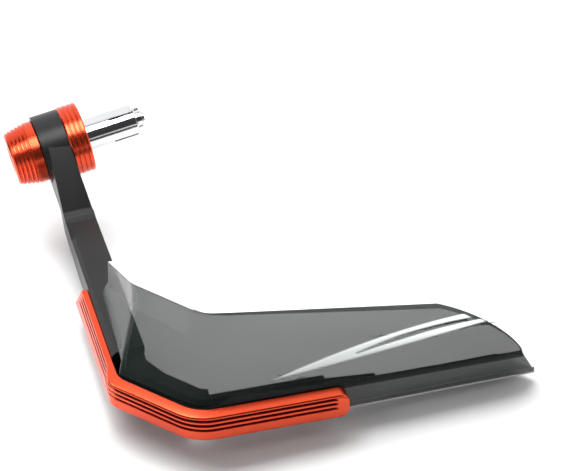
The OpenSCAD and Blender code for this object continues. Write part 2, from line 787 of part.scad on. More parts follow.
// The trim's section, out from the shield and down from the crease.
trim_soft = 0.8;
first_groove = 1;
trim_section = concat(
    [[0, 0], [trim_depth - trim_soft, 0], [trim_depth - 0.2, -0.25], [trim_depth, -trim_soft]],
    [for (i = [0:trim_grooves - 1]) let (z = -first_groove - i * trim_groove_pitch) each [
        [trim_depth, z],
        [trim_depth - trim_groove_depth, z - 0.3],
        [trim_depth - trim_groove_depth, z - 0.9],
        [trim_depth, z - 1.2]
    ]],
    [[trim_depth, -trim_height + trim_soft], [trim_depth - trim_soft, -trim_height], [0, -trim_height]]);
function ungrooved(p) = abs(p[0] - trim_depth + trim_groove_depth) < 0.01 ? [trim_depth, p[1]] : p;
function trim_ring(run, section) = [for (p = section) concat(mitred(run, -p[0]), [z_at(run) + p[1]])];
function rear_ring(section, forward) = [for (p = section)
    [
        corner[0] - p[0],
        trim_side_run - corner_reach - forward - trim_start_rake * p[1] / trim_height,
        z_at(0) + p[1]
    ]];
nose = 3.5;
function nosed(p) = [max(p[0] * 0.85, 0), -trim_height / 2 + (p[1] + trim_height / 2) * 0.45];
trim_end = diagonal_length + trim_run;
trim_runs = runs_to(trim_end - 4);

module trim() {
    smooth = [for (p = trim_section) ungrooved(p)];
    rings = concat(
        [rear_ring(smooth, 0), rear_ring(smooth, 1.5), rear_ring(trim_section, 1.8)],
        [for (run = trim_runs) trim_ring(run, trim_section)],
        [trim_ring(trim_end - 3.7, smooth), trim_ring(trim_end, smooth),
            trim_ring(trim_end + nose, [for (p = smooth) nosed(p)])]);
    hole_d = screw_d + 2 * running_gap;
    hole_depth = screw_bite + 0.4;
    color(orange) difference() {
        through_rings(rings);
        for (reach = screw_reaches)
            screw_way([corner[0], -reach, screw_z], 0) mirror([0, 0, 1]) translate([0, 0, -overrun])
                rod(hole_d, hole_depth + overrun, small_sides);
        screw_way(corner_screw_place, heading(flange_middle)) translate([0, 0, -flange_far - hole_depth])
            rod(hole_d, hole_depth + overrun, small_sides);
        screw_way(end_screw_place, heading(end_screw_run)) translate([0, 0, -bar_far - hole_depth])
            rod(hole_d, hole_depth + overrun, small_sides);
    }
}

end_cap();
main_bolt();
bolt_washer();
arm();
collar();
expander_sleeve();
expander_wedge();
shield();
trim();
arm_screw_rear();
arm_screw_front();
corner_screw();
trim_end_screw();
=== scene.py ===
"""Looks of the motorcycle hand guard, laid out as a Blender add-on and run as a script.

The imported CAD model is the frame. Turned and cast pieces keep their CAD nodes and get procedural materials. The
shield's sheet and the trim strip are modelled again as finer surfaces from the same values as the part's source.
"""

import json

import bmesh
import bpy
import numpy as np
from mathutils import Matrix, Vector

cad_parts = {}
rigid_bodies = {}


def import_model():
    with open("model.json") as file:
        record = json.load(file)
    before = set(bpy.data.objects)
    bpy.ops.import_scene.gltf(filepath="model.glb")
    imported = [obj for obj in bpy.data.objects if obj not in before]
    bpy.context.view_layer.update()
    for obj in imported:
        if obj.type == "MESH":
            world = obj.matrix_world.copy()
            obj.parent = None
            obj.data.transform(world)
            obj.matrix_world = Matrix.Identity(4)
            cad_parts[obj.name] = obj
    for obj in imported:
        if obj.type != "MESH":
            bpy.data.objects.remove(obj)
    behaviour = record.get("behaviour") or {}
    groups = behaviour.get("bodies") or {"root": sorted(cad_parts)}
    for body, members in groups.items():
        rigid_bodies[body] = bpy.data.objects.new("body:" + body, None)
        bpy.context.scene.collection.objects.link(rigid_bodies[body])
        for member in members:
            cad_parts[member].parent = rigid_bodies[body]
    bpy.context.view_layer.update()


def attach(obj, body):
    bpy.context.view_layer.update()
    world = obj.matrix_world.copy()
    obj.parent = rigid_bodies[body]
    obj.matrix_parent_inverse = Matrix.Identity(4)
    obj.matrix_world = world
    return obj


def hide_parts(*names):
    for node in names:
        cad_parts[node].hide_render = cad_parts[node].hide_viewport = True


bl_info = {
    "name": "Hand Guard Looks",
    "version": (1, 0, 0),
    "blender": (4, 5, 0),
    "location": "3D View > Sidebar > Hand Guard",
    "description": "Dresses the packed hand guard and sets up its studio",
    "category": "Object",
}

MM = 0.001
SENSOR = 36.0

# The camera fitted to the photograph
CAMERA_PLACE = (-0.08493, -0.54867, 0.40674)
CAMERA_RIGHT = (0.94675, -0.32191, -0.00688)
CAMERA_UP = (0.21446, 0.61451, 0.7592)

# Rows that a rounded crease gets between its ends, and the bevel on the sharp edges
ROUND_STEPS = 4
EDGE_BEVEL = 0.35 * MM

# The shield's material slots. Apart from the body, they are copies of the one smoked sheet with light or shade
# painted in: the crease, the lower panel and the dark edge darker as painted shade, the wing paler as a painted
# reflection, and the last slot pale as a painted edge highlight. The body carries the painted streak highlight.
BODY, CREASE, LOWER, DARK_EDGE, WING, EDGE_HIGHLIGHT = range(6)

BUMP_STRENGTH = 0.6


def length(name, description, default):
    """A length in metres, written in millimetres."""
    return bpy.props.FloatProperty(
        name=name, description=description, default=default * MM, subtype="DISTANCE", unit="LENGTH", precision=5
    )


def number(name, description, default):
    """A plain number."""
    return bpy.props.FloatProperty(name=name, description=description, default=default)


class HandGuardSettings(bpy.types.PropertyGroup):
    """The values that the shield, the trim and the studio are made from."""

    arm_out: length("Arm's outer side", "Outer side of the arm, outboard of the collar's seat", -19.3)
    arm_top: length("Arm's top", "Top of the arm's straight stretch", -16.7)
    arm_bottom: length("Arm's bottom", "Underside of the arm, where the guard rests", -45.1)
    arm_reach: length("Arm's reach", "From the bar axis forward to the straight stretch's front end", 127.0)
    sheet: length("Sheet", "Thickness of the shield's sheet", 2.4)
    crease_drop: length("Crease drop", "Main crease below the bar axis, at the outboard corner", 20.4)
    crease_fall: length("Crease fall", "How far the crease falls from the corner to the tip", 6.0)
    corner_reach: length("Corner reach", "From the bar axis forward to the crease's outboard corner", 137.5)
    diagonal_run: length("Diagonal run", "Width of the diagonal facet", 25.0)
    diagonal_depth: length("Diagonal depth", "Depth of the diagonal facet", 28.5)
    front_run: length("Front run", "From the diagonal's inboard end to the tip", 139.0)
    front_rake: length("Front rake", "How far the front facet runs forward over its length", 8.2)
    rise_corner: length("Rise at the corner", "Height of the main panel at the diagonal's inboard end", 29.2)
    rise_tip: length("Rise at the tip", "Height of the main panel at the inboard end", 14.4)
    lean_back: length("Lean back", "How far the top edge leans back behind the crease", 23.6)
    tip_rake: length("Tip rake", "How far the inboard end's top is cut back from the tip", 26.5)
    tip_bow: length("Tip bow", "How far the inboard end's edge bows out between its corners", 4.4)
    bulge_tip: length("Bulge", "How far the main panel bulges out at the tip", 4.6)
    lip_height: length("Lip height", "Height of the lip along the wing and the diagonal", 11.0)
    lower_height: length("Lower height", "Height of the lower panel", 15.6)
    bottom_depth: length("Bottom depth", "Depth of the bottom flange", 14.0)
    corner_round: length("Corner round", "Rounding of the corner between diagonal and front facet, in plan", 7.0)
    wing_run: length("Wing run", "From the outboard corner back to the wing's rear edge", 47.5)
    wing_inset: length("Wing inset", "From the arm's outer side in to the wing's foot", 4.2)
    crease_round: length("Crease round", "Rounding of the main crease", 1.7)
    streak_step: length("Styling step", "How far the two styling streaks stand out of the front facet", 0.2)
    trim_depth: length("Trim depth", "Depth of the trim strip, out from the shield", 5.0)
    trim_height: length("Trim height", "Height of the trim strip", 13.0)
    trim_side_run: length("Trim's side", "From the outboard corner back to the trim's rear end", 55.7)
    trim_lean: number("Trim lean", "Share of the trim's depth that its top edge gives way on the side run", 0.5)
    trim_start_rake: length("Trim rake", "How far the trim's rear end is cut back at its top", 7.0)
    trim_run: length("Trim run", "Length of the trim along the front facet", 58.5)
    trim_groove_pitch: length("Groove pitch", "From groove to groove on the trim", 2.6)
    groove_depth: length("Groove depth", "Depth of the trim's grooves", 0.9)
    bar_rise: bpy.props.FloatProperty(
        name="Bar rise", description="How far the bar axis rises inboard", default=np.radians(6.4), subtype="ANGLE"
    )
    bar_sweep: bpy.props.FloatProperty(
        name="Bar sweep", description="How far the bar axis sweeps back", default=np.radians(2.5), subtype="ANGLE"
    )
    lens: number("Lens", "Focal length in millimetres on a 36 mm wide sensor", 92.08)
    key_power: number("Key light", "Power of the small softbox over the bar end, in watts", 0.27)
    cap_power: number("Cap light", "Power of the small softbox left of the bar end, in watts", 0.2)
    fill_power: number("Fill light", "Power of the wide softbox over the guard, in watts", 21.0)
    side_power: number("Side light", "Power of the softbox on the left, in watts", 1.8)
    sky_strength: number("Sky", "Strength of the pale surroundings", 1.25)


def settings():
    """The scene's values."""
    return bpy.context.scene.hand_guard


# Points along the shield's crease


def unit(v):
    """v divided by its length, for one vector or for rows of vectors."""
    return v / np.linalg.norm(v, axis=-1, keepdims=True)


def mix(a, b, s):
    """The point at share s of the way from a to b."""
    return a + (b - a) * s


def left_of(v):
    """A plan vector turned a quarter turn to the left."""
    return np.stack([-v[..., 1], v[..., 0]], axis=-1)


class Crease:
    """The shield's main crease in plan: along the arm's side, over the diagonal and along the front.

    A place on it is a run length, zero at the outboard corner and negative beside the arm. Near the diagonal's inboard
    end the two straight lines are joined by a quadratic curve.
    """

    def __init__(self, s):
        self.corner = np.array([s.arm_out - 0.2 * MM, -s.corner_reach])
        self.diagonal_end = self.corner + [s.diagonal_run, -s.diagonal_depth]
        self.tip = self.diagonal_end + [s.front_run, -s.front_rake]
        self.diagonal_length = np.linalg.norm(self.diagonal_end - self.corner)
        self.front_length = np.linalg.norm(self.tip - self.diagonal_end)
        self.total = self.diagonal_length + self.front_length
        self.diagonal_way = (self.diagonal_end - self.corner) / self.diagonal_length
        self.front_way = (self.tip - self.diagonal_end) / self.front_length
        self.side_way = np.array([0.0, -1.0])
        self.round = s.corner_round
        self.drop = s.crease_drop
        self.fall = s.crease_fall

    def straight(self, run):
        """The crease's point before the corner is rounded."""
        r = run[:, None]
        side = self.corner + self.side_way * r
        diagonal = self.corner + self.diagonal_way * r
        front = self.diagonal_end + self.front_way * (r - self.diagonal_length)
        return np.where(r < 0, side, np.where(r < self.diagonal_length, diagonal, front))

    def share(self, run):
        """Zero where the rounding starts, one where it ends."""
        return np.clip((run - self.diagonal_length + self.round) / (2 * self.round), 0, 1)[:, None]

    def plan(self, run):
        """The crease's point in plan: a quadratic curve near the diagonal's end, else the straight lines."""
        q = self.share(run)
        a = self.diagonal_end - self.diagonal_way * self.round
        b = self.diagonal_end + self.front_way * self.round
        curve = mix(mix(a, self.diagonal_end, q), mix(self.diagonal_end, b, q), q)
        inside = (q > 0) & (q < 1)
        return np.where(inside, curve, self.straight(run))

    def way(self, run):
        """The direction of travel along the crease."""
        turned = unit(mix(self.diagonal_way, self.front_way, self.share(run)))
        return np.where(run[:, None] < 0, self.side_way, turned)

    def rearward(self, run):
        """The direction square to the crease, towards the rider, lengthened in the outboard corner's mitre."""
        out = left_of(self.way(run))
        bisector = unit(left_of(self.side_way) + left_of(self.diagonal_way))
        mitre = bisector / (bisector @ left_of(self.diagonal_way))
        return np.where(np.abs(run[:, None]) < 1e-6, mitre, out)

    def height(self, run):
        """The crease falls evenly over the front facet."""
        return -self.drop - self.fall * np.clip(run - self.diagonal_length, 0, None) / self.front_length

    def at(self, run, out=0.0, down=0.0):
        """Points at a distance out from the crease and down from it. run, out and down are arrays of one length."""
        run = np.asarray(run, float)
        flat = self.plan(run) - self.rearward(run) * np.broadcast_to(out, run.shape)[:, None]
        return np.column_stack([flat, self.height(run) - down])


# Surfaces


def soften(grid, index, radius, steps=ROUND_STEPS):
    """Rounds a crease of a grid. The row at index gives way to steps + 1 rows on a quadratic curve, which starts and
    ends at radius from the crease, on the lines to the rows beside it. Rows run along the grid's first axis."""
    before, at, after = grid[index - 1], grid[index], grid[index + 1]
    back = np.linalg.norm(before - at, axis=-1, keepdims=True)
    ahead = np.linalg.norm(after - at, axis=-1, keepdims=True)
    a = at + (before - at) * np.minimum(radius / back, 0.45)
    b = at + (after - at) * np.minimum(radius / ahead, 0.45)
    shares = np.linspace(0, 1, steps + 1)
    curve = [mix(mix(a, at, q), mix(at, b, q), q) for q in shares]
    return np.concatenate([grid[:index], np.stack(curve), grid[index + 1 :]])


def grid_faces(columns, rows, shown):
    """The quads of a grid of points, numbered column by column. shown is a mask of the quads to keep."""
    c, r = np.nonzero(shown)
    first = c * rows + r
    return np.column_stack([first, first + 1, first + rows + 1, first + rows])


def mesh_object(name, points, faces, more_faces=()):
    """A new smooth-shaded object from points and faces, at the origin."""
    mesh = bpy.data.meshes.new(name)
    mesh.from_pydata(points.tolist(), [], faces.tolist() + [list(f) for f in more_faces])
    mesh.validate()
    obj = bpy.data.objects.new(name, mesh)
    bpy.context.scene.collection.objects.link(obj)
    mesh.shade_smooth()
    return obj


def drop_loose(obj):
    """Deletes the points that no face uses, and turns the faces outward."""
    b = bmesh.new()
    b.from_mesh(obj.data)
    loose = [v for v in b.verts if not v.link_faces]
    bmesh.ops.delete(b, geom=loose, context="VERTS")
    bmesh.ops.recalc_face_normals(b, faces=b.faces)
    b.to_mesh(obj.data)
    b.free()


def bevelled(obj, width, angle):
    """Rounds the edges sharper than angle, and keeps the flat faces flat in the shading."""
    bevel = obj.modifiers.new("Edges", "BEVEL")
    bevel.width = width
    bevel.segments = 2
    bevel.limit_method = "ANGLE"
    bevel.angle_limit = np.radians(angle)
    bevel.harden_normals = True
    return bevel


class ShieldSurface:
    """The sheet's outer surface as a grid: columns from the wing's rear edge to the tip, rows from the top edge down.

    Each facet's section goes from the top edge over the lip to the crease. On the wing and the diagonal it is two
    straight lines with a short quadratic curve between them. On the front it is a parabola over the chord, and the
    two are mixed near the corner.
    """

    lip_share = 0.3
    lip_soft = 0.05
    front_out = unit(np.array([0.0, -0.55, 0.85]))

    def __init__(self, s):
        self.s = s
        self.crease = Crease(s)
        c = self.crease
        seat = s.arm_out + s.wing_inset
        self.rear_bottom = np.array([seat + 0.6 * MM, s.wing_run - s.corner_reach, s.arm_top])
        self.rear_lip = self.rear_bottom + np.array([3.0, 0.0, 6.0]) * MM
        self.rear_top = self.rear_bottom + np.array([4.4, 3.2, 14.0]) * MM
        self.front_bottom = np.array([seat - 1.6 * MM, 5 * MM - s.corner_reach, s.arm_top])
        self.foot_start = np.append(c.corner, -s.crease_drop)
        self.corner_top = self.foot_start + np.array([13.4, 22.8, 28.2]) * MM
        self.corner_lip = self.corner_top + np.array([-1.2 * MM, -3.0 * MM, -s.lip_height])
        self.diagonal_foot = np.append(c.diagonal_end, -s.crease_drop)
        self.diagonal_top = self.diagonal_foot + np.array([10 * MM, s.lean_back, s.rise_corner])
        self.diagonal_lip = self.diagonal_top + np.array([-3.2 * MM, -3.4 * MM, -s.lip_height])
        self.foot_tip = np.append(c.tip, -s.crease_drop - s.crease_fall)
        self.tip_top = self.foot_tip + np.array([-s.tip_rake, s.lean_back + 2.6 * MM, s.rise_tip])

    def creased(self, top, lip, foot, v):
        """Top to lip and lip to foot, both straight, with a quadratic curve over lip_soft on both sides of the lip."""
        upper = mix(top, lip, v / self.lip_share)
        lower = mix(lip, foot, (v - self.lip_share) / (1 - self.lip_share))
        a = mix(lip, top, self.lip_soft / self.lip_share)
        b = mix(lip, foot, self.lip_soft / (1 - self.lip_share))
        q = (v - self.lip_share + self.lip_soft) / (2 * self.lip_soft)
        curve = mix(mix(a, lip, q), mix(lip, b, q), q)
        return np.where(q <= 0, upper, np.where(q >= 1, lower, curve))

    def bulged(self, top, foot, v, bulge):
        """The chord from top to foot, raised by a parabola of height bulge."""
        return mix(top, foot, v) + 4 * bulge * v * (1 - v) * self.front_out

    def front(self, share, v):
        """The front facet's section at a share of its length. The inboard end's edge bows out by tip_bow."""
        s = self.s
        bow = s.tip_bow * (np.clip(np.sin(np.pi * v), 0, 1) ** 0.6 - 0.8 * (1 - v) ** 8)
        share = share * (1 + bow / self.crease.front_length * share**3)
        foot = mix(self.diagonal_foot, self.foot_tip, share)
        top = mix(self.diagonal_top, self.tip_top, share)
        soft = self.bulged(top, foot, v, mix(3 * MM, s.bulge_tip, share))
        lip = mix(self.diagonal_lip, mix(top, foot, self.lip_share), np.minimum(1, share * 5))
        return mix(self.creased(top, lip, foot, v), soft, np.minimum(1, 0.5 + share * 5))

    def diagonal(self, share, v):
        """The diagonal facet's section at a share of its length."""
        foot = mix(self.foot_start, self.diagonal_foot, share)
        top = mix(self.corner_top, self.diagonal_top, share)
        lip = mix(self.corner_lip, self.diagonal_lip, share)
        soft = self.bulged(top, foot, v, 3 * MM)
        return mix(self.creased(top, lip, foot, v), soft, np.clip(share - 0.6, 0, None) * 1.25)

    def wing_foot(self, share):
        """The wing's foot runs along the arm's top and drops to the crease at the corner."""
        seated = mix(self.rear_bottom, self.front_bottom, np.minimum(share / 0.9, 1))
        return mix(seated, self.foot_start, np.clip((share - 0.9) / 0.1, 0, 1))

    def wing(self, share, v):
        """The wing's section."""
        top = mix(self.rear_top, self.corner_top, share)
        lip = mix(self.rear_lip, self.corner_lip, share)
        return self.creased(top, lip, self.wing_foot(share), v)

    def upper(self, runs, v):
        """Points for runs (negative for the wing, down to -1) and rows v, as an array (columns, rows, 3)."""
        c = self.crease
        u = runs[:, None, None]
        v = v[None, :, None]
        q = c.share(runs)[:, :, None]
        a = self.diagonal(1 - c.round / c.diagonal_length, v)
        b = self.diagonal(np.ones((1, 1, 1)), v)
        d = self.front(np.full((1, 1, 1), c.round / c.front_length), v)
        bend = mix(mix(a, b, q), mix(b, d, q), q)
        on_diagonal = self.diagonal(np.clip(u / c.diagonal_length, 0, 1), v)
        on_front = self.front(np.clip((u - c.diagonal_length) / c.front_length, 0, 1), v)
        wing = self.wing(np.clip(u + 1, 0, 1), v)
        main = np.where(q <= 0, on_diagonal, np.where(q >= 1, on_front, bend))
        return np.where(u < 0, wing, main)

    def lower(self, runs, rows_down, rows_back):
        """The lower panel and the bottom flange below the crease, as an array (columns, rows, 3). Beside the wing
        they go on straight, so that the outboard corner can be rounded."""
        s, c = self.s, self.crease
        run = np.where(runs < 0, runs * 20 * MM, runs)
        last_bar = c.diagonal_length + s.trim_run - 4 * MM
        share = np.clip((run - last_bar) / (c.total - last_bar), 0, 1)[:, None]
        top = c.at(run)
        rearward = np.column_stack([c.rearward(run), np.zeros(len(run))])
        along = np.append(c.front_way, 0.0)
        low = top + along * 8.2 * MM * share**2 + rearward * 1.6 * MM * share
        low[:, 2] -= s.lower_height
        grown = np.clip((run - c.diagonal_length + 9 * MM) / (12 * MM), 0, 1)[:, None]
        depth = mix(s.sheet + 0.05 * MM, s.bottom_depth, grown)
        far = low + rearward * depth - along * 13 * MM * share**4
        down = [mix(top, low, q) for q in rows_down]
        back = [mix(low, far, q) for q in rows_back]
        return np.stack(down + back, axis=1)

    def streaks(self, runs, v):
        """The mask of the two styling streaks on the front facet, one inside and zero outside. It raises a low step,
        and it also marks where a highlight is painted into the sheet's colour.

        They lie between two parabolas that start from one point, and a narrow gap parts them from about halfway. t is
        the share of the facet's length past that point.
        """
        c = self.crease
        start, level, fork, soft = 0.212, 0.816, 0.3, 0.012
        upper_end, lower_end = 0.977, 0.997
        along = (runs[:, None] - c.diagonal_length) / c.front_length
        t = along - start
        v = v[None, :]
        top = level - 0.95 * t + 0.27 * t**2
        bottom = level - 0.30 * t - 0.25 * t**2
        past = t - 0.313
        gap = 0.635 - 0.85 * past + 0.5 * past**2
        gap_half = np.clip((t - fork) / 0.16, 0, 1) * 0.022
        inside = np.clip(np.minimum(v - top, bottom - v) / soft, 0, 1)
        parted = np.where(t < fork, 1, np.clip((np.abs(v - gap) - gap_half) / soft, 0, 1))
        ended = np.clip((np.where(v < gap, upper_end, lower_end) - along) / 0.01, 0, 1)
        return np.where(t > 0, inside * parted * ended, 0)


def thickened(points, inner, faces):
    """A closed sheet: the faces, the same faces on the inner points turned over, and a strip round the open edges.
    Returns all points, all faces and how many of the faces are not in the strip."""
    n = len(points)
    edges = np.concatenate([faces[:, [i, (i + 1) % 4]] for i in range(4)])
    low_high = np.sort(edges, axis=1)
    _, first, count = np.unique(low_high[:, 0] * n + low_high[:, 1], return_index=True, return_counts=True)
    rim = edges[first[count == 1]]
    strip = np.column_stack([rim[:, 1], rim[:, 0], rim[:, 0] + n, rim[:, 1] + n])
    return np.concatenate([points, inner]), np.concatenate([faces, faces[:, ::-1] + n, strip]), 2 * len(faces)


def build_shield():
    """The shield's sheet. The grid's creases are rounded along both directions. Each inner point lies one sheet
    thickness behind its outer point, square to the surface there, and never below the arm's top beside the arm. Quads
    below the crease are left out there. The narrow first row carries a dark line of painted shade inside the top edge."""
    rows_down, rows_back = (0.2, 0.4, 0.6, 1.0), (0.45, 0.65, 0.85, 1.0)
    corner_soft, low_soft = 2.0 * MM, 2.6 * MM
    s = settings()
    surface = ShieldSurface(s)
    c = surface.crease
    start = c.diagonal_length - c.round
    end = c.diagonal_length + c.round
    wing_runs = np.append(np.linspace(-1, -0.1, 19), 0.0)
    runs = np.concatenate([
        wing_runs,
        np.linspace(5 * MM, start, 14)[:-1],
        np.linspace(start, end, 17),
        end + (c.total - end) * np.linspace(0, 1, 120)[1:],
    ])
    v = np.append((0, 0.014), np.linspace(0.03, 0.92, 75))
    upper = surface.upper(runs, np.append(v, 1.0))
    # The streak mask raises a low step here. It also marks where a highlight is painted further down.
    masks = surface.streaks(runs, np.append(v, 1.0))
    upper += masks[:, :, None] * s.streak_step * surface.front_out
    lower = surface.lower(runs, rows_down, rows_back)
    grid = np.concatenate([upper, lower], axis=1).transpose(1, 0, 2)
    crease_row, low_row = len(v), len(v) + len(rows_down)
    corner = len(wing_runs) - 1
    wing_end, lip_end = corner + 2, corner + 22
    foot = grid[crease_row, :corner].copy()
    above = grid[crease_row - 1, :corner].copy()
    grid = soften(grid, low_row, low_soft)
    grid = soften(grid, crease_row, s.crease_round)
    low_row += ROUND_STEPS
    for step in range(ROUND_STEPS + 1):
        grid[crease_row + step, :corner] = mix(above, foot, 0.5 + step / ROUND_STEPS)
    grid = soften(grid.transpose(1, 0, 2), corner, corner_soft)
    columns, rows = grid.shape[:2]
    shown = np.ones((columns - 1, rows - 1), bool)
    shown[:wing_end, crease_row + 2 :] = False
    faces = grid_faces(columns, rows, shown)
    along, down = np.gradient(grid, axis=0), np.gradient(grid, axis=1)
    inward = unit(np.cross(along, down))
    on_front = inward[-20, 20]
    inward *= np.sign(on_front[1])
    inner = grid + inward * s.sheet
    beside_arm = (inner[:, :, 1] > -s.arm_reach) & (np.arange(columns) < corner)[:, None]
    inner[:, :, 2] = np.where(beside_arm, np.maximum(inner[:, :, 2], s.arm_top), inner[:, :, 2])
    points, all_faces, sides = thickened(grid.reshape(-1, 3), inner.reshape(-1, 3), faces)
    obj = mesh_object("shield_sheet", points, all_faces)
    column, row = faces[:, 0] // rows, faces[:, 0] % rows
    # Slots by place: the crease rows, the lower panel, the first row and the wing get the copies with painted shade or
    # a painted reflection.
    kinds = np.where(row < crease_row, BODY, np.where(row < crease_row + ROUND_STEPS, CREASE, LOWER))
    kinds = np.where(column < wing_end, WING, kinds)
    kinds = np.where(row == 0, DARK_EDGE, kinds)
    # Painted highlight: the rounded edge between the lower panel and the bottom flange gets the pale copy of the
    # sheet.
    kinds = np.where((row >= low_row) & (row < low_row + ROUND_STEPS), EDGE_HIGHLIGHT, kinds)
    # The rim strip: on the lip's top the pale copy as a painted edge highlight, elsewhere the dark edge as painted
    # shade.
    rim_first = all_faces[sides:, 1]
    on_lip_top = (rim_first % rows == 0) & (rim_first // rows < lip_end)
    kinds = np.concatenate([kinds, kinds, np.where(on_lip_top, EDGE_HIGHLIGHT, DARK_EDGE)])
    obj.data.polygons.foreach_set("material_index", kinds.astype(np.int32))
    # The streak mask as a point attribute: where the sheet's colour gets its painted highlight.
    streak_highlight_mask = np.zeros((columns, rows))
    streak_highlight_mask[:corner, : len(v)] = masks[:corner, : len(v)]
    streak_highlight_mask[corner + ROUND_STEPS + 1 :, : len(v)] = masks[corner + 1 :, : len(v)]
    layer = obj.data.attributes.new("streak", "FLOAT", "POINT")
    layer.data.foreach_set("value", np.concatenate([streak_highlight_mask.ravel(), np.zeros(streak_highlight_mask.size)]).astype(np.float32))
    drop_loose(obj)
    bevelled(obj, EDGE_BEVEL, angle=50).use_clamp_overlap = False
    return obj


def trim_section(s):
    """The trim's section as (out, down) points: a flat top, a rounded shoulder, a grooved face and a rounded foot.
    Each groove is a steepened half wave. Also gives each point's mask for the shade painted into the grooves."""
    soft, first, share, steepness, mask_steepness = 0.8 * MM, 1.0 * MM, 0.58, 0.4, 0.3
    grooves = 3
    depth, height = s.trim_depth, s.trim_height
    turn = np.linspace(0, np.pi / 2, 6)
    shoulder = np.column_stack([depth - soft + soft * np.sin(turn), soft - soft * np.cos(turn)])
    down = np.linspace(soft, height - soft, 90)
    place = (down - first) / s.trim_groove_pitch
    in_groove = (place > 0) & (place < grooves) & (place % 1 < share)
    cut = np.where(in_groove, np.sin(np.clip(place % 1, 0, share) / share * np.pi) ** steepness, 0)
    face = np.column_stack([depth - s.groove_depth * cut, down])
    foot = np.column_stack([depth - soft + soft * np.cos(turn), height - soft + soft * np.sin(turn)])
    section = np.concatenate([[[0, 0]], shoulder, face[1:-1], foot, [[0, height]]])
    # Painted shade: the mask spreads over the whole groove, walls included, where little light comes in.
    shade = cut[1:-1] ** mask_steepness
    return section, np.concatenate([np.zeros(1 + len(shoulder)), shade, np.zeros(len(foot) + 1)])


def build_trim():
    """The trim strip: its section is carried along the crease. The grooves fade out before both ends, and the inboard
    end closes in a blunt nose. On the side run the face leans in toward its top edge, by a share of its depth."""
    edge, corner_blend, corner_soft, corner_steps = 1.2 * MM, 9 * MM, 3.6 * MM, 6
    nose = ((1.2, 0.95), (2.2, 0.82), (3.0, 0.66), (3.5, 0.45))
    s = settings()
    c = Crease(s)
    section, groove_shade_mask = trim_section(s)
    out, down = section[:, 0], section[:, 1]
    plain = np.where((down > edge) & (down < s.trim_height - edge), s.trim_depth, out)
    start, end = c.diagonal_length - c.round, c.diagonal_length + s.trim_run
    mid = c.diagonal_length + c.round
    rear = -s.trim_side_run
    runs = np.concatenate([
        rear + np.array([0, 0.5, 1.5, 3, 4.5]) * MM,
        np.linspace(rear + 8 * MM, -corner_blend, 8),
        [0.0],
        np.linspace(corner_blend, start, 5),
        np.linspace(start, mid, 13)[1:],
        np.linspace(mid, end - 7 * MM, 12)[1:],
        end + np.array([-5.5, -4.0, -2.5, -1.0, 0.0]) * MM,
    ])
    fade = np.clip(np.minimum((runs - rear - 1 * MM) / (3 * MM), (end - 1.4 * MM - runs) / (1.2 * MM)), 0, 1)
    rings = []
    for run, share in zip(runs, fade):
        lean = (1 - s.trim_lean * (1 - down / s.trim_height)) if run < 0 else 1
        width = mix(plain, out, share) * mix(1, lean, np.clip(-run / corner_blend, 0, 1))
        ring = c.at(np.full(len(out), run), width, down)
        if run < 0:
            ring[:, 1] += s.trim_start_rake * down / s.trim_height * np.clip(-run / -rear, 0, 1) ** 3
        rings.append(ring)
    middle = s.trim_height / 2
    for ahead, share in nose:
        nosed = c.at(np.full(len(out), end + ahead * MM), plain * mix(0.9, 1.0, share), mix(middle, down, share))
        rings.append(nosed)
    # The grooves' painted shade, faded out with the grooves.
    shade = np.zeros((len(rings), len(out), 1))
    shade[: len(fade), :, 0] = fade[:, None] * groove_shade_mask
    corner = int(np.argmin(np.abs(runs)))
    rings = soften(np.concatenate([np.stack(rings), shade], axis=2), corner, corner_soft, corner_steps)
    points, shade = rings[:, :, :3], rings[:, :, 3]
    n = points.shape[1]
    closed = np.concatenate([points, points[:, :1]], axis=1)
    faces = grid_faces(len(rings), n + 1, np.ones((len(rings) - 1, n), bool))
    wrap = np.arange(len(rings) * (n + 1))
    wrap = (wrap // (n + 1)) * n + (wrap % (n + 1)) % n
    faces = wrap[faces]
    caps = [list(range(n)), list(range((len(rings) - 1) * n, len(rings) * n))[::-1]]
    obj = mesh_object("trim_strip", points.reshape(-1, 3), faces, caps)
    # The groove attribute carries the grooves' painted shade to the material.
    layer = obj.data.attributes.new("groove", "FLOAT", "POINT")
    layer.data.foreach_set("value", shade.ravel().astype(np.float32))
    drop_loose(obj)
    bevelled(obj, EDGE_BEVEL, angle=60)
    return obj


# Materials


def node_group(name, outputs, inputs):
    """A new shader node group with float or colour sockets, and its input and output nodes."""
    group = bpy.data.node_groups.new(name, "ShaderNodeTree")
    for label, kind in inputs:
        group.interface.new_socket(label, in_out="INPUT", socket_type=kind)
    for label, kind in outputs:
        group.interface.new_socket(label, in_out="OUTPUT", socket_type=kind)
    return group, group.nodes.new("NodeGroupInput"), group.nodes.new("NodeGroupOutput")


def math_node(tree, operation, a, b):
    """A math node. Its inputs are sockets or numbers."""
    node = tree.nodes.new("ShaderNodeMath")
    node.operation = operation
    for socket, given in zip(node.inputs, (a, b)):
        if isinstance(given, (int, float)):
            socket.default_value = given
        else:
            tree.links.new(given, socket)
    return node.outputs[0]


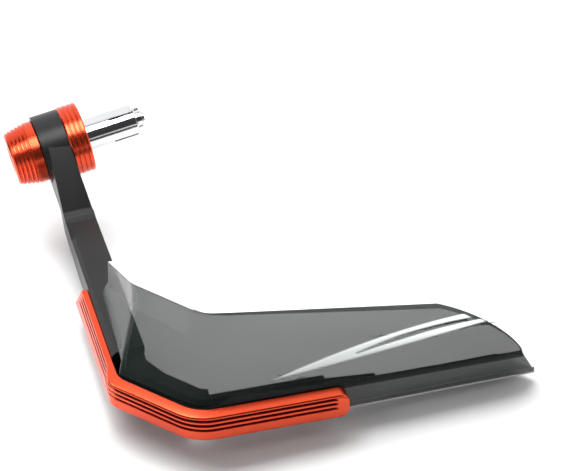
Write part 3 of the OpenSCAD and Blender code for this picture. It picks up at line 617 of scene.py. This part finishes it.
def surface_wear_group():
    """Fine grain and faint clouding from object coordinates. Height is grain for a bump, Cloud is a slow variation
    round zero for colour and roughness."""
    name = "Surface Variation"
    if name in bpy.data.node_groups:
        return bpy.data.node_groups[name]
    outputs = [("Height", "NodeSocketFloat"), ("Cloud", "NodeSocketFloat")]
    group, given, result = node_group(name, outputs, [("Grain Scale", "NodeSocketFloat")])
    place = group.nodes.new("ShaderNodeTexCoord")
    grain = group.nodes.new("ShaderNodeTexNoise")
    grain.inputs["Detail"].default_value = 4
    cloud = group.nodes.new("ShaderNodeTexNoise")
    cloud.inputs["Scale"].default_value = 60
    cloud.inputs["Detail"].default_value = 3
    centre = group.nodes.new("ShaderNodeMath")
    centre.operation = "SUBTRACT"
    centre.inputs[1].default_value = 0.5
    link = group.links.new
    link(place.outputs["Object"], grain.inputs["Vector"])
    link(place.outputs["Object"], cloud.inputs["Vector"])
    link(given.outputs["Grain Scale"], grain.inputs["Scale"])
    link(cloud.outputs["Fac"], centre.inputs[0])
    link(grain.outputs["Fac"], result.inputs["Height"])
    link(centre.outputs[0], result.inputs["Cloud"])
    return group


def turned_group():
    """Lathe marks: fine rings round the bar axis, as a height. The place along the axis drives a noise that only
    changes along it."""
    name = "Turned Marks"
    if name in bpy.data.node_groups:
        return bpy.data.node_groups[name]
    group, given, result = node_group(name, [("Height", "NodeSocketFloat")], [("Marks per Metre", "NodeSocketFloat")])
    s = settings()
    place = group.nodes.new("ShaderNodeTexCoord")
    along = group.nodes.new("ShaderNodeVectorMath")
    along.operation = "DOT_PRODUCT"
    along.inputs[1].default_value = bar_axis(s)
    scale = group.nodes.new("ShaderNodeMath")
    scale.operation = "MULTIPLY"
    marks = group.nodes.new("ShaderNodeTexNoise")
    marks.noise_dimensions = "1D"
    marks.inputs["Scale"].default_value = 1
    marks.inputs["Detail"].default_value = 5
    link = group.links.new
    link(place.outputs["Object"], along.inputs[0])
    link(along.outputs["Value"], scale.inputs[0])
    link(given.outputs["Marks per Metre"], scale.inputs[1])
    link(scale.outputs[0], marks.inputs["W"])
    link(marks.outputs["Fac"], result.inputs["Height"])
    return group


def bar_axis(s):
    """The bar axis as a direction in the frame."""
    rise, sweep = s.bar_rise, s.bar_sweep
    return (np.cos(rise) * np.cos(sweep), np.cos(rise) * np.sin(sweep), np.sin(rise))


def new_material(name):
    """A node material with its Principled shader."""
    material = bpy.data.materials.new(name)
    material.use_nodes = True
    return material, material.node_tree, material.node_tree.nodes["Principled BSDF"]


def varied_colour(tree, colour, other, cloud):
    """A colour mixed between two by the cloud value, which is round zero."""
    shift = tree.nodes.new("ShaderNodeMath")
    shift.operation = "MULTIPLY_ADD"
    shift.inputs[1].default_value = 2.2
    shift.inputs[2].default_value = 0.5
    shift.use_clamp = True
    blend = tree.nodes.new("ShaderNodeMix")
    blend.data_type = "RGBA"
    blend.inputs["A"].default_value = (*colour, 1)
    blend.inputs["B"].default_value = (*other, 1)
    tree.links.new(cloud, shift.inputs[0])
    tree.links.new(shift.outputs[0], blend.inputs["Factor"])
    return blend.outputs["Result"]


def varied_roughness(tree, cloud, middle, spread):
    """Roughness round a middle value."""
    rough = tree.nodes.new("ShaderNodeMath")
    rough.operation = "MULTIPLY_ADD"
    rough.inputs[1].default_value = spread
    rough.inputs[2].default_value = middle
    tree.links.new(cloud, rough.inputs[0])
    return rough.outputs[0]


def bump_from(tree, height, distance, edge_radius):
    """A bump over a rounded-edge normal."""
    edge = tree.nodes.new("ShaderNodeBevel")
    edge.samples = 4
    edge.inputs["Radius"].default_value = edge_radius
    bump = tree.nodes.new("ShaderNodeBump")
    bump.inputs["Strength"].default_value = BUMP_STRENGTH
    bump.inputs["Distance"].default_value = distance
    tree.links.new(edge.outputs["Normal"], bump.inputs["Normal"])
    tree.links.new(height, bump.inputs["Height"])
    return bump.outputs["Normal"]


def use_group(tree, group, label, value):
    """A group node with one input set."""
    node = tree.nodes.new("ShaderNodeGroup")
    node.node_tree = group
    node.inputs[label].default_value = value
    return node


def finish_material(tree, shader, colours, grain, rough, spread, bump_depth, edge, marks=None):
    """Colour, roughness and normal from the shared groups. With marks, lathe marks take the grain's place."""
    wear = use_group(tree, surface_wear_group(), "Grain Scale", grain)
    tree.links.new(varied_colour(tree, *colours, wear.outputs["Cloud"]), shader.inputs["Base Color"])
    tree.links.new(varied_roughness(tree, wear.outputs["Cloud"], rough, spread), shader.inputs["Roughness"])
    height = wear.outputs["Height"]
    if marks:
        height = use_group(tree, turned_group(), "Marks per Metre", marks).outputs["Height"]
    tree.links.new(bump_from(tree, height, bump_depth, edge), shader.inputs["Normal"])


def orange_metal(name, marks=None, grooved=False):
    """Orange anodised aluminium: metal under a clear dyed layer. When grooved, the mesh's groove mask paints shade
    into
    the grooves: a dark red where little light comes in."""
    material, tree, shader = new_material(name)
    shader.inputs["Metallic"].default_value = 0.96
    shader.inputs["Coat Weight"].default_value = 0.2
    shader.inputs["Coat Roughness"].default_value = 0.2
    colours = ((0.70, 0.068, 0.023), (0.76, 0.08, 0.027))
    finish_material(
        tree, shader, colours, grain=5200, rough=0.25, spread=0.06, bump_depth=0.0015 * MM, edge=0.3 * MM, marks=marks
    )
    if grooved:
        # Painted shade: the groove mask mixes in a dark red where little light comes into the grooves.
        mask = tree.nodes.new("ShaderNodeAttribute")
        mask.attribute_name = "groove"
        groove_shade = tree.nodes.new("ShaderNodeMix")
        groove_shade.data_type = "RGBA"
        groove_shade.inputs["B"].default_value = (0.06, 0.004, 0.003, 1)
        plain = shader.inputs["Base Color"].links[0].from_socket
        tree.links.new(mask.outputs["Fac"], groove_shade.inputs["Factor"])
        tree.links.new(plain, groove_shade.inputs["A"])
        tree.links.new(groove_shade.outputs["Result"], shader.inputs["Base Color"])
    return material


def black_nylon():
    """Satin black glass-filled nylon with a fine spark-eroded grain."""
    material, tree, shader = new_material("black_nylon")
    shader.inputs["Specular IOR Level"].default_value = 0.3
    colours = ((0.008, 0.008, 0.0085), (0.011, 0.011, 0.0115))
    finish_material(tree, shader, colours, grain=2600, rough=0.36, spread=0.1, bump_depth=0.03 * MM, edge=0.8 * MM)
    return material


def bright_chrome():
    """Polished chrome with faint turning marks."""
    material, tree, shader = new_material("bright_chrome")
    shader.inputs["Metallic"].default_value = 1
    colours = ((0.66, 0.67, 0.68), (0.74, 0.74, 0.75))
    finish_material(
        tree, shader, colours, grain=900, rough=0.1, spread=0.05, bump_depth=0.01 * MM, edge=0.2 * MM, marks=5000
    )
    return material


def plated_steel():
    """Zinc-plated steel, a little cloudy."""
    material, tree, shader = new_material("plated_steel")
    shader.inputs["Metallic"].default_value = 1
    colours = ((0.62, 0.63, 0.65), (0.74, 0.74, 0.75))
    finish_material(tree, shader, colours, grain=3800, rough=0.26, spread=0.14, bump_depth=0.02 * MM, edge=0.2 * MM)
    return material


def smoked_sheet(name, opacity, shade, shine, streak_painted_highlight=None, rough=0.08):
    """Smoked polycarbonate: dark and glossy, with light passing through by its alpha. The alpha grows with the
    facing angle, so that grazing reflections keep their full strength. With a streak tone, the mesh's streak mask
    paints a highlight in: a pale tone and a higher alpha where a softbox would be reflected in the styling streaks."""
    material, tree, shader = new_material(name)
    shader.inputs["IOR"].default_value = 1.5
    shader.inputs["Specular IOR Level"].default_value = shine
    light = tuple(v * 1.2 for v in shade)
    wear = use_group(tree, surface_wear_group(), "Grain Scale", 90)
    colour = varied_colour(tree, shade, light, wear.outputs["Cloud"])
    varied = varied_roughness(tree, wear.outputs["Cloud"], rough, rough / 2)
    rim = tree.nodes.new("ShaderNodeLayerWeight")
    grazing = math_node(tree, "POWER", rim.outputs["Facing"], 4.0)
    seen = math_node(tree, "ADD", math_node(tree, "MULTIPLY", grazing, 1 - opacity), opacity)
    # Painted highlight: the streak mask blends in the pale tone and raises the alpha.
    if streak_painted_highlight:
        mask = tree.nodes.new("ShaderNodeAttribute")
        mask.attribute_name = "streak"
        streak_highlight = tree.nodes.new("ShaderNodeMix")
        streak_highlight.data_type = "RGBA"
        streak_highlight.inputs["B"].default_value = (*streak_painted_highlight, 1)
        tree.links.new(mask.outputs["Fac"], streak_highlight.inputs["Factor"])
        tree.links.new(colour, streak_highlight.inputs["A"])
        colour = streak_highlight.outputs["Result"]
        solid = tree.nodes.new("ShaderNodeMath")
        solid.operation = "MULTIPLY_ADD"
        solid.use_clamp = True
        solid.inputs[1].default_value = 0.42
        tree.links.new(mask.outputs["Fac"], solid.inputs[0])
        tree.links.new(seen, solid.inputs[2])
        seen = solid.outputs[0]
    tree.links.new(colour, shader.inputs["Base Color"])
    tree.links.new(varied, shader.inputs["Roughness"])
    tree.links.new(seen, shader.inputs["Alpha"])
    bump = tree.nodes.new("ShaderNodeBump")
    bump.inputs["Strength"].default_value = 0.08
    bump.inputs["Distance"].default_value = 0.0001
    tree.links.new(wear.outputs["Height"], bump.inputs["Height"])
    tree.links.new(bump.outputs["Normal"], shader.inputs["Normal"])
    return material


def paint(obj, *materials):
    """Gives an object these materials in place of its own."""
    if len(obj.material_slots) == 0:
        for material in materials:
            obj.data.materials.append(material)
        return
    for index, place in enumerate(obj.material_slots):
        place.material = materials[min(index, len(materials) - 1)]


# Stage


def look_from(camera, place, right, up):
    """Puts the camera at a place with its right and up directions."""
    right = Vector(right).normalized()
    back = right.cross(Vector(up)).normalized()
    upward = back.cross(right)
    turn = Matrix((right, upward, back)).transposed().to_4x4()
    camera.matrix_world = Matrix.Translation(place) @ turn


def softbox(name, place, target, size, power, mirrored=True):
    """A rectangular area light that looks at a target and that no camera sees. An unmirrored one lights the
    guard without a patch of itself in the shiny sheet."""
    data = bpy.data.lights.new(name, "AREA")
    data.shape = "RECTANGLE"
    data.size, data.size_y = size
    data.energy = power
    light = bpy.data.objects.new(name, data)
    bpy.context.scene.collection.objects.link(light)
    way = Vector(target) - Vector(place)
    light.matrix_world = Matrix.Translation(place) @ way.to_track_quat("-Z", "Y").to_matrix().to_4x4()
    light.visible_camera = False
    light.visible_glossy = mirrored
    return light


def pale_world(s):
    """Pale surroundings with a dark screen in front, as in a small photo studio. The screen lies between two
    elevations, seen square to its front, and its edges are soft."""
    world = bpy.data.worlds.new("Studio")
    bpy.context.scene.world = world
    world.use_nodes = True
    tree = world.node_tree
    ground = tree.nodes["Background"]
    place = tree.nodes.new("ShaderNodeTexCoord")
    parts = tree.nodes.new("ShaderNodeSeparateXYZ")
    ahead = tree.nodes.new("ShaderNodeVectorMath")
    ahead.operation = "DOT_PRODUCT"
    ahead.inputs[1].default_value = (-0.6, -0.8, 0.0)
    tree.links.new(place.outputs["Generated"], parts.inputs[0])
    tree.links.new(place.outputs["Generated"], ahead.inputs[0])
    angle = math_node(tree, "ARCTAN2", parts.outputs["Z"], ahead.outputs["Value"])
    turn = math_node(tree, "DIVIDE", angle, np.pi)
    ramp = tree.nodes.new("ShaderNodeValToRGB")
    # Share of the half turn from the horizon in front up and over to the back, and the brightness there
    stops = ((0.0, 1.0), (0.03, 0.9), (0.06, 0.04), (0.47, 0.04), (0.55, 0.7), (0.6, 1.0))
    band = ramp.color_ramp
    band.elements[0].position, band.elements[1].position = stops[0][0], stops[-1][0]
    for place_at, _ in stops[1:-1]:
        band.elements.new(place_at)
    for element, (_, tone) in zip(band.elements, stops):
        element.color = (tone, tone, tone, 1)
    tree.links.new(turn, ramp.inputs["Fac"])
    tree.links.new(ramp.outputs["Color"], ground.inputs["Color"])
    ground.inputs["Strength"].default_value = s.sky_strength


def pale_floor(s):
    """A wide pale floor under the guard, with a faint mottling so that it isn't one flat colour."""
    reach = 6.0
    points = np.array([[-reach, -reach, 0], [reach, -reach, 0], [reach, reach, 0], [-reach, reach, 0]])
    points[:, 2] = s.arm_bottom
    floor = mesh_object("floor", points, np.array([[0, 1, 2, 3]]))
    material, tree, shader = new_material("pale_floor")
    shader.inputs["Roughness"].default_value = 0.6
    shader.inputs["Specular IOR Level"].default_value = 0.2
    wear = use_group(tree, surface_wear_group(), "Grain Scale", 400)
    pale = varied_colour(tree, (0.74, 0.74, 0.74), (0.76, 0.76, 0.76), wear.outputs["Cloud"])
    tree.links.new(pale, shader.inputs["Base Color"])
    paint(floor, material)
    return floor


# Operators


class GUARD_OT_metal(bpy.types.Operator):
    """Gives the turned, plated and moulded CAD pieces their materials"""

    bl_idname = "guard.metal_and_nylon"
    bl_label = "Dress metal and nylon"

    def execute(self, context):
        nodes = bpy.context.scene.objects
        turned = orange_metal("orange_turned", 2600)
        chrome = bright_chrome()
        steel = plated_steel()
        plan = {
            "end_cap": turned, "collar": turned, "expander_sleeve": chrome, "expander_wedge": chrome,
            "main_bolt": steel, "bolt_washer": steel, "arm": black_nylon(), "arm_screw_rear": steel,
            "arm_screw_front": steel, "corner_screw": steel, "trim_end_screw": steel,
        }
        for name, material in plan.items():
            if name not in nodes:
                raise RuntimeError(f"the frame has no node {name}")
            paint(nodes[name], material)
        return {"FINISHED"}


class GUARD_OT_shield(bpy.types.Operator):
    """Builds the shield's smoked sheet in place of its CAD solid"""

    bl_idname = "guard.shield"
    bl_label = "Build the shield"

    def execute(self, context):
        shield = build_shield()
        # One copy of the smoked sheet per slot: the body, then the crease, the lower panel and the edge darker and
        # more opaque as painted shade, the wing paler as a painted reflection, and a pale painted edge highlight.
        paint(
            shield,
            # The pale streak tone is a painted highlight.
            smoked_sheet("smoked_sheet", 0.62, (0.015, 0.021, 0.019), 0.2, (0.84, 0.88, 0.87)),
            smoked_sheet("smoked_crease", 0.97, (0.004, 0.005, 0.005), 0.15),
            smoked_sheet("smoked_lower", 0.8, (0.045, 0.048, 0.048), 0.5),
            smoked_sheet("smoked_edge", 0.9, (0.006, 0.007, 0.007), 0.5),
            smoked_sheet("smoked_wing", 0.5, (0.1, 0.105, 0.105), 0.9, rough=0.3),
            # Pale copy of the sheet: a painted highlight on rounded edges.
            smoked_sheet("painted_edge_highlight", 0.9, (0.45, 0.46, 0.46), 0.8),
        )
        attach(shield, "root")
        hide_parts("shield")
        return {"FINISHED"}


class GUARD_OT_trim(bpy.types.Operator):
    """Builds the grooved trim strip in place of its CAD solid"""

    bl_idname = "guard.trim"
    bl_label = "Build the trim"

    def execute(self, context):
        trim = build_trim()
        # The trim's material paints shade into its grooves.
        paint(trim, orange_metal("orange_strip", grooved=True))
        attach(trim, "root")
        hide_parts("trim")
        return {"FINISHED"}


class GUARD_OT_stage(bpy.types.Operator):
    """Sets up the floor, the lights and the camera"""

    bl_idname = "guard.stage"
    bl_label = "Set up the stage"

    def execute(self, context):
        s = settings()
        pale_floor(s)
        pale_world(s)
        bar_end, cap, arm, guard = (-0.011, 0.0, 0.0), (-0.022, 0.0, 0.0), (0.0, -0.03, -0.02), (0.04, -0.09, 0.0)
        softbox("key", (-0.003, -0.066, 0.2), bar_end, (0.075, 0.12), s.key_power)
        softbox("cap_key", (-0.125, -0.055, 0.165), cap, (0.06, 0.1), s.cap_power)
        softbox("fill", (0.12, 0.5, 1.15), guard, (1.2, 0.8), s.fill_power, mirrored=False)
        softbox("side", (-0.75, -0.25, 0.6), arm, (0.4, 0.5), s.side_power, mirrored=False)
        data = bpy.data.cameras.new("Camera")
        data.sensor_width = SENSOR
        data.lens = s.lens
        camera = bpy.data.objects.new("Camera", data)
        context.scene.collection.objects.link(camera)
        look_from(camera, CAMERA_PLACE, CAMERA_RIGHT, CAMERA_UP)
        context.scene.camera = camera
        context.scene.view_settings.view_transform = "Standard"
        return {"FINISHED"}


class GUARD_PT_panel(bpy.types.Panel):
    """The hand guard's steps and values"""

    bl_label = "Hand Guard"
    bl_idname = "GUARD_PT_panel"
    bl_space_type = "VIEW_3D"
    bl_region_type = "UI"
    bl_category = "Hand Guard"

    def draw(self, context):
        for step in STEPS:
            self.layout.operator(step.bl_idname)
        for name in HandGuardSettings.__annotations__:
            self.layout.prop(context.scene.hand_guard, name)


STEPS = (GUARD_OT_metal, GUARD_OT_shield, GUARD_OT_trim, GUARD_OT_stage)
CLASSES = (HandGuardSettings, *STEPS, GUARD_PT_panel)


def register():
    """Registers the classes and the scene's settings."""
    for item in CLASSES:
        bpy.utils.register_class(item)
    bpy.types.Scene.hand_guard = bpy.props.PointerProperty(type=HandGuardSettings)


def unregister():
    """Undoes register."""
    del bpy.types.Scene.hand_guard
    for item in reversed(CLASSES):
        bpy.utils.unregister_class(item)


def main():
    """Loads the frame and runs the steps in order."""
    register()
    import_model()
    bpy.ops.guard.metal_and_nylon()
    bpy.ops.guard.shield()
    bpy.ops.guard.trim()
    bpy.ops.guard.stage()
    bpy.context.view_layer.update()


if __name__ == "__main__":
    main()
